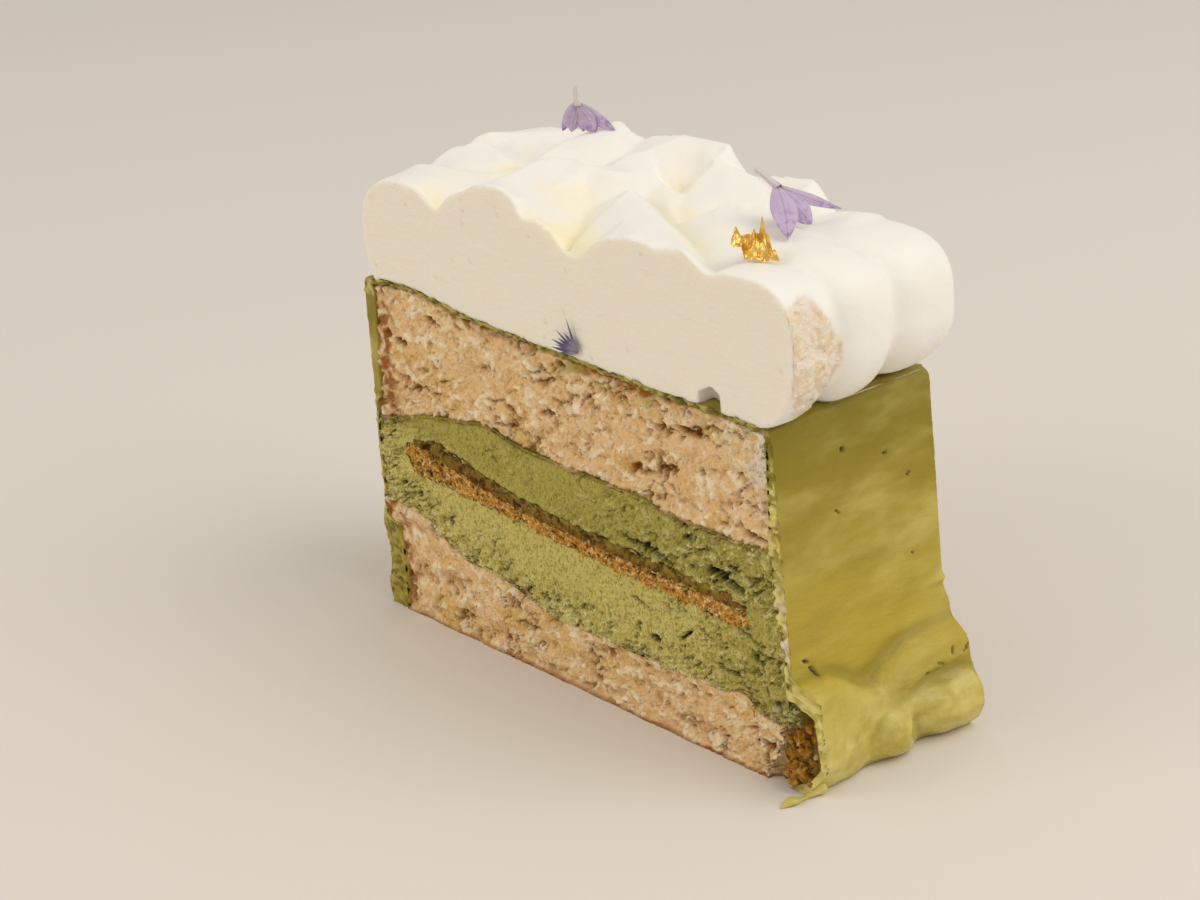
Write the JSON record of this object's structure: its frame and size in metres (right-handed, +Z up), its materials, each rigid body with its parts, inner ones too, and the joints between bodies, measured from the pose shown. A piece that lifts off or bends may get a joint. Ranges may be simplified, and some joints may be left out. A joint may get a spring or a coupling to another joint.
{
  "type": "dacquoise cake slice",
  "caption": "Rectangular slice of a layered matcha cake: nut sponge, green cream, thin crunch layer, green coat with a folded foot, and mounded whipped cream with petals.",
  "frame": {"origin": "bottom centre of the bounding box, on the surface the slice stands on", "axes": "+X along the slice towards its folded foot, +Y from the front cut face to the back cut face, +Z up"},
  "size_m": [0.12, 0.0432, 0.1034],
  "materials": {
    "nut_sponge": "matt open crumb, beige with browned edges",
    "matcha_cream": "matt sage green cream, finely torn by the knife",
    "crunch": "golden brown granular biscuit crumb",
    "crunch_film": "thin olive brown paste",
    "matcha_coat": "satin olive green cream, glossier at the foot",
    "whipped_cream": "soft warm white whipped cream",
    "lilac_petal": "thin translucent lilac petal",
    "violet_petal": "dark violet petal tuft",
    "gold_leaf": "crumpled gold leaf"
  },
  "bodies": {
    "root": {"sponge_bottom": "nut_sponge", "matcha_cream": "matcha_cream", "crunch_layer": "crunch", "crunch_film": "crunch_film", "sponge_top": "nut_sponge", "matcha_coat": "matcha_coat", "whipped_cream": "whipped_cream", "petal_back": "lilac_petal", "petal_right": "lilac_petal", "petal_front": "violet_petal", "gold_leaf": "gold_leaf"}
  },
  "joints": []
}
